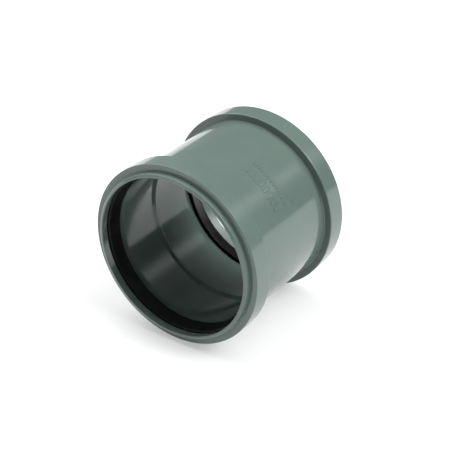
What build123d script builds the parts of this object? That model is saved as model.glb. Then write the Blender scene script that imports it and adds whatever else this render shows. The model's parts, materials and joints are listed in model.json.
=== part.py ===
from build123d import *
from math import cos, radians, sin
import os

# Double socket push fit coupling for 110 mm soil pipe.
# It lies on its side: its axis is +Y, +Z is up, and the origin is the middle of the pipe stop.
# Both ends are alike: a collar holds a rubber lip seal, and a retaining cap snaps in over it.
# All sizes are in millimetres. A depth is measured from a collar's front face into the coupling.

# Driving dimensions of the body
bore_radius = 55.4          # socket wall, for a pipe of 110 mm outside diameter
wall = 2.5
collar_radius = 63.2
collar_width = 14.3
face_distance = 50.6        # from the middle to a collar's front face
collar_front_round = 0.5
collar_rear_round = 0.7
shoulder_fillet = 1.0

# Pipe stop, a low ridge in the middle of the bore
stop_height = 1.75
stop_base_width = 4.8
stop_crest_width = 0.9
stop_round = 0.25

# Seal chamber inside a collar, and the lead-in between it and the bore
chamber_radius = 60.4
chamber_depth = 10.8
lead_in_radius = 56.8
lead_in_end_depth = 16.9
mouth_radius = 59.2
mouth_land = 0.7            # how deep the mouth's land is, which the cap snaps behind
mouth_break = 0.15

# Retaining cap
cap_bore_radius = 55.4      # at the nose, where it is tightest
cap_throat_radius = 56.4    # at the inner end
cap_lip_radius = 57.9       # outside of the lip that stands out of the collar
cap_flange_radius = 59.0
cap_snap_radius = 60.0
cap_snap_depth = mouth_land + 0.1
cap_end_depth = 1.8
cap_nose = 4.3              # how far the lip stands out of the collar
cap_nose_radius = cap_bore_radius + 1.1
cap_nose_drop = 0.8         # how far the lip slopes back from its nose to its outer edge
cap_nose_round = 0.4
cap_edge_round = 0.4
cap_cove = 0.2

# Lip seal, drawn with its lip laid back as the pipe holds it
seal_bore_radius = 55.25
heel_end_depth = 6.4
lip_end_depth = 11.9
lip_thickness = 1.0
lip_root_radius = 57.1
leg_thickness = 1.7
leg_root_radius = 58.2
heel_lead = 0.5
heel_step_radius = 57.2     # the heel's face is set back inside this, clear of the cap
heel_step = 0.7

# Raised alignment pads on the barrel, two rows of plain bars and a pointer
pad_height = 0.45
pad_sink = 1.0
pad_middle_angle = 48.0     # degrees from +X towards +Z
long_pad = (2.4, 6.0)
long_pad_step = 4.4
long_pad_count = 8
long_pad_place = -8.0
short_pad = (1.1, 3.2)
short_pad_step = 2.3
short_pad_count = 15
short_pad_place = 1.0
pointer_size = 1.5
pointer_angle = 30.0
pointer_place = 8.0

barrel_radius = bore_radius + wall
shoulder_distance = face_distance - collar_width
heel_face_depth = cap_end_depth + heel_step
tolerance = 0.01            # for telling one circular edge from another

os.makedirs("parts", exist_ok=True)


def at_depth(side, radius, depth):
    """A profile point at a radius and a depth into the end on that side."""
    return (radius, side * (face_distance - depth))


def edges_at(part, radius, distance):
    """The circular edges of a radius that lie this far from the middle, at both ends."""
    circles = part.edges().filter_by(GeomType.CIRCLE)
    return circles.filter_by(
        lambda e: abs(e.radius - radius) < tolerance and abs(abs(e.center().Y) - distance) < tolerance
    )


def barrel_plane(angle, place):
    """A plane just under the barrel's surface, facing outwards, with its x along the axis."""
    outwards = Vector(cos(radians(angle)), 0, sin(radians(angle)))
    origin = outwards * (barrel_radius - pad_sink) + Vector(0, place, 0)
    return Plane(origin=origin, x_dir=(0, 1, 0), z_dir=outwards)


# Body: one moulding, with a collar at each end and the stop ridge in the middle
with BuildPart() as body:
    with BuildSketch(Plane.XY) as body_profile:
        with BuildLine():
            Polyline(
                (bore_radius - stop_height, 0),
                (bore_radius - stop_height, stop_crest_width / 2),
                (bore_radius, stop_base_width / 2),
                at_depth(1, bore_radius, lead_in_end_depth),
                at_depth(1, lead_in_radius, chamber_depth),
                at_depth(1, chamber_radius, chamber_depth),
                at_depth(1, chamber_radius, mouth_land),
                at_depth(1, mouth_radius, mouth_land),
                at_depth(1, mouth_radius, 0),
                at_depth(1, collar_radius, 0),
                at_depth(1, collar_radius, collar_width),
                at_depth(1, barrel_radius, collar_width),
                (barrel_radius, 0),
                close=True,
            )
        make_face()
        mirror(about=Plane.XZ)
    revolve(axis=Axis.Y)
    fillet(edges_at(body, collar_radius, face_distance), collar_front_round)
    fillet(edges_at(body, collar_radius, shoulder_distance), collar_rear_round)
    fillet(edges_at(body, barrel_radius, shoulder_distance), shoulder_fillet)
    fillet(edges_at(body, bore_radius - stop_height, stop_crest_width / 2), stop_round)
    fillet(edges_at(body, mouth_radius, face_distance), mouth_break)
    # Raised pads in place of moulded lettering
    for count, step, size, place in (
        (long_pad_count, long_pad_step, long_pad, long_pad_place),
        (short_pad_count, short_pad_step, short_pad, short_pad_place),
    ):
        for index in range(count):
            turn = (index - (count - 1) / 2) * step
            angle = pad_middle_angle + turn
            with BuildSketch(barrel_plane(angle, place)):
                Rectangle(size[1], size[0])
            extrude(amount=pad_sink + pad_height)
    with BuildSketch(barrel_plane(pointer_angle, pointer_place)):
        RegularPolygon(radius=pointer_size, side_count=3)
    extrude(amount=pad_sink + pad_height)
body.part.label = "coupling_body"
export_step(body.part, "parts/coupling_body.step")

for end, side in (("front", -1), ("rear", 1)):
    # Retaining cap: a lip that guides the pipe in, and a snap bead behind the mouth's land
    with BuildPart() as cap:
        with BuildSketch(Plane.XY) as cap_profile:
            with BuildLine():
                Polyline(
                    at_depth(side, cap_throat_radius, cap_end_depth),
                    at_depth(side, cap_bore_radius, -cap_nose),
                    at_depth(side, cap_nose_radius, -cap_nose),
                    at_depth(side, cap_lip_radius, cap_nose_drop - cap_nose),
                    at_depth(side, cap_lip_radius, 0),
                    at_depth(side, cap_flange_radius, 0),
                    at_depth(side, cap_flange_radius, cap_snap_depth),
                    at_depth(side, cap_snap_radius, cap_snap_depth),
                    at_depth(side, cap_snap_radius, cap_end_depth),
                    close=True,
                )
            make_face()
        revolve(axis=Axis.Y)
        nose_distance = face_distance + cap_nose
        fillet(edges_at(cap, cap_bore_radius, nose_distance), cap_nose_round)
        fillet(edges_at(cap, cap_lip_radius, nose_distance - cap_nose_drop), cap_edge_round)
        fillet(edges_at(cap, cap_lip_radius, face_distance), cap_cove)
    cap.part.label = f"{end}_retaining_cap"
    export_step(cap.part, f"parts/{end}_retaining_cap.step")

    # Lip seal: a heel behind the cap, a leg against the chamber wall and the sealing lip
    with BuildPart() as seal:
        with BuildSketch(Plane.XY) as seal_profile:
            with BuildLine():
                Polyline(
                    at_depth(side, chamber_radius, cap_end_depth),
                    at_depth(side, heel_step_radius, cap_end_depth),
                    at_depth(side, heel_step_radius, heel_face_depth),
                    at_depth(side, seal_bore_radius + heel_lead, heel_face_depth),
                    at_depth(side, seal_bore_radius, heel_face_depth + heel_lead),
                    at_depth(side, seal_bore_radius, lip_end_depth),
                    at_depth(side, seal_bore_radius + lip_thickness, lip_end_depth),
                    at_depth(side, lip_root_radius, heel_end_depth),
                    at_depth(side, leg_root_radius, heel_end_depth),
                    at_depth(side, chamber_radius - leg_thickness, chamber_depth),
                    at_depth(side, chamber_radius, chamber_depth),
                    close=True,
                )
            make_face()
        revolve(axis=Axis.Y)
    seal.part.label = f"{end}_seal_ring"
    export_step(seal.part, f"parts/{end}_seal_ring.step")
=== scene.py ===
import json
from math import atan2, ceil, cos, degrees, pi, radians, sin, tan

import bpy
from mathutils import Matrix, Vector


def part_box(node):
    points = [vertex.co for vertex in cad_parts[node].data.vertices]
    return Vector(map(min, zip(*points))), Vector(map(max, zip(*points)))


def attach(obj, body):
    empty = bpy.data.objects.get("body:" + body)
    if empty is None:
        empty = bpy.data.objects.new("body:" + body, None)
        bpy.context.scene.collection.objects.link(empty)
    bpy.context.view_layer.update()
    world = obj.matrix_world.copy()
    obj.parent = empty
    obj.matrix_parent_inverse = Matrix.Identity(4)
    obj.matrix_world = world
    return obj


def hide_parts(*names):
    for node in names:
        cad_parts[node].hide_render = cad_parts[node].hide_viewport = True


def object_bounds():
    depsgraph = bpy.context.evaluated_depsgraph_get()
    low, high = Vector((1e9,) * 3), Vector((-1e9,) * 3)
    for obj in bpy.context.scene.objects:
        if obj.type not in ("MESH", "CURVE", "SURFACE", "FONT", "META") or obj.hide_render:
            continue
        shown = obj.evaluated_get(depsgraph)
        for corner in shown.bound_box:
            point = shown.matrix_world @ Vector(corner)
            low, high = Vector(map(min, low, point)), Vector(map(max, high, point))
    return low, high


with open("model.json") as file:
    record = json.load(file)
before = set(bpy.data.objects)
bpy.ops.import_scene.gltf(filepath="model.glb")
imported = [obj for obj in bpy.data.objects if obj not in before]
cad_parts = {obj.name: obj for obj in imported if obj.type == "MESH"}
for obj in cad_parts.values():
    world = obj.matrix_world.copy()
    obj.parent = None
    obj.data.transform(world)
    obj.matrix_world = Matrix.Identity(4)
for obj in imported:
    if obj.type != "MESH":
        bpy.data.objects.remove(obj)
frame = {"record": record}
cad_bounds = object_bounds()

MM = 0.001                                    # profiles are drawn in millimetres
BODY = "root"

# Sizes that the frame gives
body_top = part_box("coupling_body")[1] / MM
cap_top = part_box("rear_retaining_cap")[1] / MM
COLLAR_RADIUS = body_top.z
FACE = body_top.y                             # from the middle to a collar's front face
CAP_NOSE = cap_top.y - FACE                   # how far a cap's rim stands out of its collar
BORE_RADIUS = frame["record"]["mounts"][0]["dims"]["r_mm"]

# Body
WALL = 2.5
BARREL_RADIUS = BORE_RADIUS + WALL
COLLAR_WIDTH = 14.3
SHOULDER = FACE - COLLAR_WIDTH
STOP_HEIGHT = 1.75
STOP_RADIUS = BORE_RADIUS - STOP_HEIGHT
STOP_BASE = 2.4                               # half the ridge's width at its foot
STOP_CREST = 0.45                             # and at its crest
CHAMBER_RADIUS = 60.4
CHAMBER_DEPTH = 10.8
LEAD_IN_RADIUS = 56.8
LEAD_IN_END = 16.9
MOUTH_RADIUS = 59.2
MOUTH_LAND = 0.7

# Cap
CAP_BORE = 55.4                               # at the nose, where it is tightest
CAP_THROAT = 56.4                             # at the inner end
CAP_LIP = 57.9                                # outside of the lip that stands out of the collar
CAP_FLANGE = 59.15
CAP_SNAP = 59.95                              # bead behind the mouth's land
CAP_SNAP_DEPTH = 0.75
CAP_END = 1.8
NOSE_FLAT = 1.1                               # width of the rim before it slopes back
NOSE_RADIUS = CAP_BORE + NOSE_FLAT
NOSE_DROP = 0.8                               # how far it slopes back

# Seal, with its lip free. A pair is (radius, depth from the collar's face)
GAP = 0.05                                    # keeps the seal's surface off its neighbours'
SEAL_OUTER = CHAMBER_RADIUS - GAP
SEAL_TOP = CAP_END + GAP
STEP_RADIUS = 57.2                            # the heel's face is set back inside this
HEEL_STEP = 0.7
HEEL_TOP = SEAL_TOP + HEEL_STEP
HEEL_RADIUS = 55.35
HEEL_END = 3.8
LIP_RADIUS = 53.45
LIP_END = 11.9
LIP_THICKNESS = 0.95
LIP_ROOT = (57.1, 6.8)
LEG_ROOT = (58.2, 6.8)
LEG_FOOT = (58.8, 10.7)

# Raised pads on the barrel
PAD_HEIGHT = 0.45
PAD_WALL = 0.3                                # width of a pad's sloping side
PAD_MIDDLE = 48.0
# (length around, length along, step in degrees, count, place along Y)
PAD_ROWS = ((2.4, 6.0, 4.4, 8, -8.0), (1.1, 3.2, 2.3, 15, 1.0))
POINTER_ANGLE = 30.0
POINTER_PLACE = 8.0
POINTER_SIZE = 1.5
POINTER_TURNS = (60, 180, 300)                # directions its three sides face

# Mesh
ROUND_STEP = radians(12)                      # largest turn between points of a rounding
COLUMN_STEP = 2.0                             # degrees between a ring's columns
CLOSEST_COLUMNS = 0.04
POINTER_GRID = 0.15                           # between the lines over the pointer
POINTER_LINES = range(-12, 13)
BARREL_ROWS = range(-34, 35, 4)               # even lines along the barrel
PROBE = 0.02                                  # how far apart the relief is sampled for its slope
SAME = 0.001                                  # radii closer than this are the same


# ------------------------------------------------------------------ meshes

def outline_of(corners):
    """Closed outline of (radius, y, normal radius, normal y, wear) points around a profile.

    Each corner is (radius, y, rounding), and the solid lies on the left. Wear is 1 on outward roundings.
    """
    outline = []
    for index, (radius, y, rounding) in enumerate(corners):
        here = Vector((radius, y))
        arriving = (here - Vector(corners[index - 1][:2])).normalized()
        leaving = (Vector(corners[(index + 1) % len(corners)][:2]) - here).normalized()
        first = atan2(arriving.y, arriving.x) - pi / 2
        turn = (atan2(leaving.y, leaving.x) - pi / 2 - first + pi) % (2 * pi) - pi
        reach = rounding * tan(abs(turn) / 2)
        bulge = rounding if turn > 0 else -rounding
        start = here - arriving * reach
        centre = start - Vector((cos(first), sin(first))) * bulge
        steps = max(2, ceil(abs(turn) / ROUND_STEP))
        for step in range(steps + 1):
            angle = first + turn * step / steps
            normal = Vector((cos(angle), sin(angle)))
            point = centre + normal * bulge
            inside = turn > 0 and 0 < step < steps
            outline.append((point.x, point.y, normal.x, normal.y, float(inside)))
    return outline


def other_end(corners):
    """The same profile at the front end."""
    return [(radius, -y, rounding) for radius, y, rounding in reversed(corners)]


def with_rows(outline, radius, rows):
    """The outline with more points along its straight run at a radius."""
    result = []
    for index, point in enumerate(outline):
        result.append(point)
        following = outline[(index + 1) % len(outline)]
        if abs(point[0] - radius) < SAME and abs(following[0] - radius) < SAME:
            low, high = point[1], following[1]
            result.extend((radius, y, 1.0, 0.0, 0.0) for y in sorted(rows) if low < y < high)
    return result


def ring(name, outline, columns, relief=None):
    """A closed ring about the Y axis with the exact normals of its outline.

    Columns are angles in degrees from +X towards +Z. relief(y, angle) gives how far the barrel is raised.
    """
    points, normals, wear = [], [], []
    for angle in columns:
        turn = radians(angle)
        outwards = Vector((cos(turn), 0, sin(turn)))
        around = Vector((-sin(turn), 0, cos(turn)))
        for radius, y, normal_radius, normal_y, worn in outline:
            normal = outwards * normal_radius + Vector((0, normal_y, 0))
            raised = 0.0
            if relief and abs(radius - BARREL_RADIUS) < SAME:
                raised = relief(y, angle)
                swing = degrees(PROBE / radius)
                slope_y = (relief(y + PROBE, angle) - relief(y - PROBE, angle)) / (2 * PROBE)
                slope_around = (relief(y, angle + swing) - relief(y, angle - swing)) / (2 * PROBE)
                normal = (normal - Vector((0, slope_y, 0)) - around * slope_around).normalized()
            points.append((outwards * (radius + raised) + Vector((0, y, 0))) * MM)
            normals.append(normal)
            wear.append(worn)
    rows = len(outline)
    faces = []
    for column in range(len(columns)):
        here = column * rows
        there = (column + 1) % len(columns) * rows
        for row in range(rows):
            after = (row + 1) % rows
            faces.append((here + row, here + after, there + after, there + row))
    mesh = bpy.data.meshes.new(name)
    mesh.from_pydata(points, [], faces)
    mesh.attributes.new("wear", "FLOAT", "POINT").data.foreach_set("value", wear)
    mesh.polygons.foreach_set("use_smooth", [True] * len(mesh.polygons))
    mesh.normals_split_custom_set_from_vertices(normals)
    piece = bpy.data.objects.new(name, mesh)
    bpy.context.scene.collection.objects.link(piece)
    return piece


def place(piece, node, material):
    piece.data.materials.append(material)
    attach(piece, BODY)
    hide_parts(node)


# ------------------------------------------------------------------ raised pads

def ramp(distance):
    """1 inside a pad, 0 outside, with a smooth side between. distance is inwards from the pad's edge."""
    share = min(1.0, max(0.0, distance / PAD_WALL + 0.5))
    return share * share * (3 - 2 * share)


def pad_angles(step, count):
    return [PAD_MIDDLE + (index - (count - 1) / 2) * step for index in range(count)]


def pad_relief(y, angle):
    """How far the barrel is raised at a place by the rows of pads and the pointer."""
    height = 0.0
    for width, length, step, count, middle in PAD_ROWS:
        along = length / 2 - abs(y - middle)
        if along < -PAD_WALL:
            continue
        nearest = min(pad_angles(step, count), key=lambda each: abs(each - angle))
        across = width / 2 - abs(radians(angle - nearest)) * BARREL_RADIUS
        height = max(height, ramp(along) * ramp(across))
    across = radians(angle - POINTER_ANGLE) * BARREL_RADIUS
    along = y - POINTER_PLACE
    inside = min(
        POINTER_SIZE / 2 - (cos(radians(turn)) * along + sin(radians(turn)) * across)
        for turn in POINTER_TURNS
    )
    return PAD_HEIGHT * max(height, ramp(inside))


def edge_lines(middle, half):
    """Where a mesh needs lines to follow a pad's two sides."""
    shares = (-0.5, -0.25, 0.0, 0.25, 0.5)
    return [middle + side * (half + share * PAD_WALL) for side in (-1, 1) for share in shares]


def even_columns():
    return [index * COLUMN_STEP for index in range(round(360 / COLUMN_STEP))]


def body_columns():
    """Even columns round the body, and closer ones at the sides of the pads."""
    columns = set(even_columns())
    for width, length, step, count, middle in PAD_ROWS:
        for angle in pad_angles(step, count):
            columns.update(angle + degrees(line / BARREL_RADIUS) for line in edge_lines(0, width / 2))
    columns.update(POINTER_ANGLE + index * POINTER_GRID for index in POINTER_LINES)
    kept = []
    for angle in sorted(columns):
        if not kept or angle - kept[-1] > CLOSEST_COLUMNS:
            kept.append(angle)
    return kept


def body_rows():
    """Lines across the barrel, at the ends of the pads, over the pointer and evenly along it."""
    rows = [POINTER_PLACE + index * POINTER_GRID for index in POINTER_LINES]
    for width, length, step, count, middle in PAD_ROWS:
        rows.extend(edge_lines(middle, length / 2))
    rows.extend(BARREL_ROWS)
    return rows


# ------------------------------------------------------------------ profiles of the rear end

# Each corner is (radius, y, rounding)
body_half = [
    (BARREL_RADIUS, SHOULDER, 1.0),
    (COLLAR_RADIUS, SHOULDER, 0.7),
    (COLLAR_RADIUS, FACE, 0.5),
    (MOUTH_RADIUS, FACE, 0.05),
    (MOUTH_RADIUS, FACE - MOUTH_LAND, 0.1),
    (CHAMBER_RADIUS, FACE - MOUTH_LAND, 0.1),
    (CHAMBER_RADIUS, FACE - CHAMBER_DEPTH, 0.3),
    (LEAD_IN_RADIUS, FACE - CHAMBER_DEPTH, 0.3),
    (BORE_RADIUS, FACE - LEAD_IN_END, 8.0),
    (BORE_RADIUS, STOP_BASE, 0.3),
    (STOP_RADIUS, STOP_CREST, 0.3),
]

cap_profile = [
    (CAP_SNAP, FACE - CAP_END, 0.15),
    (CAP_SNAP, FACE - CAP_SNAP_DEPTH, 0.15),
    (CAP_FLANGE, FACE - CAP_SNAP_DEPTH, 0.1),
    (CAP_FLANGE, FACE, 0.05),
    (CAP_LIP, FACE, 0.2),
    (CAP_LIP, FACE + CAP_NOSE - NOSE_DROP, 0.4),
    (NOSE_RADIUS, FACE + CAP_NOSE, 0.2),
    (CAP_BORE, FACE + CAP_NOSE, 0.4),
    (CAP_THROAT, FACE - CAP_END, 0.15),
]

seal_profile = [
    (SEAL_OUTER, FACE - CHAMBER_DEPTH + GAP, 0.3),
    (SEAL_OUTER, FACE - SEAL_TOP, 0.3),
    (STEP_RADIUS, FACE - SEAL_TOP, 0.15),
    (STEP_RADIUS, FACE - HEEL_TOP, 0.15),
    (HEEL_RADIUS, FACE - HEEL_TOP, 0.5),
    (HEEL_RADIUS, FACE - HEEL_END, 3.0),
    (LIP_RADIUS, FACE - LIP_END, 0.42),
    (LIP_RADIUS + LIP_THICKNESS, FACE - LIP_END, 0.42),
    (LIP_ROOT[0], FACE - LIP_ROOT[1], 0.5),
    (LEG_ROOT[0], FACE - LEG_ROOT[1], 0.5),
    (LEG_FOOT[0], FACE - LEG_FOOT[1], 0.4),
]


# ------------------------------------------------------------------ materials

# Linear colours, red, green, blue
PVC = (0.100, 0.140, 0.124)
PVC_WORN = (0.15, 0.19, 0.17)
RUBBER = (0.004, 0.0043, 0.0043)
RUBBER_BLOOM = (0.007, 0.0073, 0.0073)
PVC_GLOSSIEST = 0.10                          # roughness
PVC_DULLEST = 0.17
PVC_IOR = 1.53
RUBBER_IOR = 1.5
RUBBER_SPECULAR = 0.3
MOTTLING = 1.1                                # how much paler the pale mottles are
RUBBED = 0.15                                 # how strongly the worn colour shows on roundings
RUBBED_ROUGHNESS = 0.2

# A Mix node's colour sockets, by number because its float sockets share their names
COLOUR_A, COLOUR_B, COLOUR_RESULT = 6, 7, 2


def new_material(name):
    material = bpy.data.materials.new(name)
    material.use_nodes = True
    tree = material.node_tree
    shader = tree.nodes["Principled BSDF"]
    return material, tree, shader


def noise(tree, scale, detail=4.0, roughness=0.55, stretch=(1, 1, 1)):
    """Noise in the object's own space. stretch lengthens the grain along an axis where it is below 1."""
    place_node = tree.nodes.new("ShaderNodeTexCoord")
    mapping = tree.nodes.new("ShaderNodeMapping")
    mapping.inputs["Scale"].default_value = stretch
    texture = tree.nodes.new("ShaderNodeTexNoise")
    texture.inputs["Scale"].default_value = scale
    texture.inputs["Detail"].default_value = detail
    texture.inputs["Roughness"].default_value = roughness
    tree.links.new(place_node.outputs["Object"], mapping.inputs["Vector"])
    tree.links.new(mapping.outputs["Vector"], texture.inputs["Vector"])
    return texture.outputs["Fac"]


def spread(tree, source, low, high, start=0.35, end=0.65):
    """source from start to end, turned into low to high."""
    node = tree.nodes.new("ShaderNodeMapRange")
    for socket, value in (("From Min", start), ("From Max", end), ("To Min", low), ("To Max", high)):
        node.inputs[socket].default_value = value
    tree.links.new(source, node.inputs["Value"])
    return node.outputs["Result"]


def blend(tree, share, first, second):
    """A colour between two colours, either of which may be a socket."""
    node = tree.nodes.new("ShaderNodeMix")
    node.data_type = "RGBA"
    tree.links.new(share, node.inputs["Factor"])
    for socket, value in ((node.inputs[COLOUR_A], first), (node.inputs[COLOUR_B], second)):
        if isinstance(value, tuple):
            socket.default_value = (*value, 1.0)
        else:
            tree.links.new(value, socket)
    return node.outputs[COLOUR_RESULT]


def maths(tree, operation, first, second):
    node = tree.nodes.new("ShaderNodeMath")
    node.operation = operation
    for socket, value in zip(node.inputs, (first, second)):
        if isinstance(value, (int, float)):
            socket.default_value = value
        else:
            tree.links.new(value, socket)
    return node.outputs[0]


def bump(tree, shader, heights):
    """Bump from several (height socket, depth in metres, strength) layers."""
    normal = None
    for height, depth, strength in heights:
        node = tree.nodes.new("ShaderNodeBump")
        node.inputs["Distance"].default_value = depth
        node.inputs["Strength"].default_value = strength
        tree.links.new(height, node.inputs["Height"])
        if normal:
            tree.links.new(normal, node.inputs["Normal"])
        normal = node.outputs["Normal"]
    tree.links.new(normal, shader.inputs["Normal"])


def plastic(name):
    """Moulded PVC: slight mottling, faint draw marks, fine orange peel and rubbed edges."""
    material, tree, shader = new_material(name)
    mottling = spread(tree, noise(tree, scale=28), low=0.0, high=1.0)
    pale = tuple(channel * MOTTLING for channel in PVC)
    ground = blend(tree, mottling, PVC, pale)
    wear = tree.nodes.new("ShaderNodeAttribute")
    wear.attribute_name = "wear"
    patches = spread(tree, noise(tree, scale=260), low=0.0, high=1.0, start=0.42, end=0.62)
    rubbed = maths(tree, "MULTIPLY", maths(tree, "MULTIPLY", wear.outputs["Fac"], patches), RUBBED)
    tree.links.new(blend(tree, rubbed, ground, PVC_WORN), shader.inputs["Base Color"])
    cloud = spread(tree, noise(tree, scale=75), PVC_GLOSSIEST, PVC_DULLEST)
    rough = maths(tree, "ADD", cloud, maths(tree, "MULTIPLY", rubbed, RUBBED_ROUGHNESS))
    tree.links.new(rough, shader.inputs["Roughness"])
    peel = noise(tree, scale=700, detail=2.0)
    draw = noise(tree, scale=900, detail=2.0, roughness=0.5, stretch=(1, 0.03, 1))
    bump(tree, shader, ((peel, 0.02 * MM, 0.35), (draw, 0.01 * MM, 0.25)))
    shader.inputs["IOR"].default_value = PVC_IOR
    return material


def rubber(name):
    """Black moulded rubber with a slight bloom."""
    material, tree, shader = new_material(name)
    bloom = spread(tree, noise(tree, scale=60), low=0.0, high=1.0, start=0.4, end=0.7)
    tree.links.new(blend(tree, bloom, RUBBER, RUBBER_BLOOM), shader.inputs["Base Color"])
    rough = spread(tree, noise(tree, scale=120), low=0.30, high=0.42)
    tree.links.new(rough, shader.inputs["Roughness"])
    grain = noise(tree, scale=1500, detail=3.0)
    bump(tree, shader, ((grain, 0.03 * MM, 0.4),))
    shader.inputs["IOR"].default_value = RUBBER_IOR
    shader.inputs["Specular IOR Level"].default_value = RUBBER_SPECULAR
    return material


# ------------------------------------------------------------------ the pieces

body_outline = with_rows(outline_of(body_half + other_end(body_half)), BARREL_RADIUS, body_rows())
pvc = plastic("body_pvc")
cap_pvc = plastic("cap_pvc")
seal_rubber = rubber("seal_rubber")

place(ring("body_moulding", body_outline, body_columns(), pad_relief), "coupling_body", pvc)
for end, at_end in (("front", other_end), ("rear", list)):
    cap = ring(f"{end}_cap_ring", outline_of(at_end(cap_profile)), even_columns())
    place(cap, f"{end}_retaining_cap", cap_pvc)
    seal = ring(f"{end}_lip_seal", outline_of(at_end(seal_profile)), even_columns())
    place(seal, f"{end}_seal_ring", seal_rubber)


# ------------------------------------------------------------------ studio

FLOOR_HALF = 3.0                              # in metres
FLOOR_GREY = 0.55
FLOOR_GLOW = 0.38
# Soft lights all round the coupling: (direction, how narrow, brightness)
SOFT_LIGHTS = (
    ((0.72, 0.20, 0.67), 40.0, 17.5),         # right
    ((-0.93, 0.28, 0.14), 14.0, 1.6),         # left, low
    ((-0.75, 0.15, 0.64), 26.0, 6.0),         # left, high
    ((-0.37, 0.14, 0.93), 22.0, 6.2),         # above, to the left
    ((0.37, 0.16, 0.93), 22.0, 5.4),          # above, to the right
    ((-0.50, -0.85, 0.12), 8.0, 1.2),         # in front, low
    ((0.10, 0.80, 0.60), 5.0, 0.08),          # faint, behind
    ((0.49, 0.71, 0.50), 150.0, 1.3),         # small window behind
)

CAMERA_LENS = 111.4
CAMERA_SENSOR = 36.0
CAMERA_AZIMUTH = radians(35.07)
CAMERA_ELEVATION = radians(30.55)
CAMERA_DISTANCE = 0.919                       # in metres
AIM_RIGHT = 2.95
AIM_DOWN = 1.3


def floor():
    """A pale floor under the coupling."""
    height = cad_bounds[0].z
    signs = ((-1, -1), (1, -1), (1, 1), (-1, 1))
    mesh = bpy.data.meshes.new("floor")
    mesh.from_pydata([(x * FLOOR_HALF, y * FLOOR_HALF, height) for x, y in signs], [], [(0, 1, 2, 3)])
    piece = bpy.data.objects.new("floor", mesh)
    bpy.context.scene.collection.objects.link(piece)
    material, tree, shader = new_material("floor_white")
    shader.inputs["Base Color"].default_value = (FLOOR_GREY, FLOOR_GREY, FLOOR_GREY, 1)
    shader.inputs["Emission Color"].default_value = (1, 1, 1, 1)
    shader.inputs["Emission Strength"].default_value = FLOOR_GLOW
    shader.inputs["Roughness"].default_value = 1.0
    shader.inputs["Specular IOR Level"].default_value = 0.0
    mesh.materials.append(material)


def surround():
    """The soft lights, each fading smoothly outwards, with a plain white background behind them."""
    world = bpy.data.worlds.new("studio")
    bpy.context.scene.world = world
    world.use_nodes = True
    tree = world.node_tree
    background = tree.nodes["Background"]
    background.inputs["Color"].default_value = (1, 1, 1, 1)
    towards = tree.nodes.new("ShaderNodeTexCoord").outputs["Generated"]
    total = None
    for direction, narrow, brightness in SOFT_LIGHTS:
        facing = tree.nodes.new("ShaderNodeVectorMath")
        facing.operation = "DOT_PRODUCT"
        facing.inputs[1].default_value = Vector(direction).normalized()
        tree.links.new(towards, facing.inputs[0])
        away = maths(tree, "SUBTRACT", facing.outputs["Value"], 1.0)
        fade = maths(tree, "EXPONENT", maths(tree, "MULTIPLY", away, narrow), 0.0)
        light = maths(tree, "MULTIPLY", fade, brightness)
        total = maths(tree, "ADD", total, light) if total else light
    rays = tree.nodes.new("ShaderNodeLightPath")
    seen = tree.nodes.new("ShaderNodeMix")
    tree.links.new(rays.outputs["Is Camera Ray"], seen.inputs["Factor"])
    tree.links.new(total, seen.inputs["A"])
    seen.inputs["B"].default_value = 1.0
    tree.links.new(seen.outputs["Result"], background.inputs["Strength"])


def add_camera():
    """The camera at the photograph's angle, aimed a little beside the coupling's middle."""
    data = bpy.data.cameras.new("camera")
    data.lens = CAMERA_LENS
    data.sensor_width = CAMERA_SENSOR
    camera = bpy.data.objects.new("camera", data)
    bpy.context.scene.collection.objects.link(camera)
    bpy.context.scene.camera = camera
    across = cos(CAMERA_ELEVATION)
    back = Vector((sin(CAMERA_AZIMUTH) * across, -cos(CAMERA_AZIMUTH) * across, sin(CAMERA_ELEVATION)))
    right = Vector((cos(CAMERA_AZIMUTH), sin(CAMERA_AZIMUTH), 0))
    up = back.cross(right)
    middle = (cad_bounds[0] + cad_bounds[1]) / 2
    camera.location = middle + right * AIM_RIGHT * MM - up * AIM_DOWN * MM + back * CAMERA_DISTANCE
    camera.rotation_mode = "QUATERNION"
    camera.rotation_quaternion = back.to_track_quat("Z", "Y")


floor()
surround()
add_camera()
bpy.context.scene.view_settings.view_transform = "Standard"
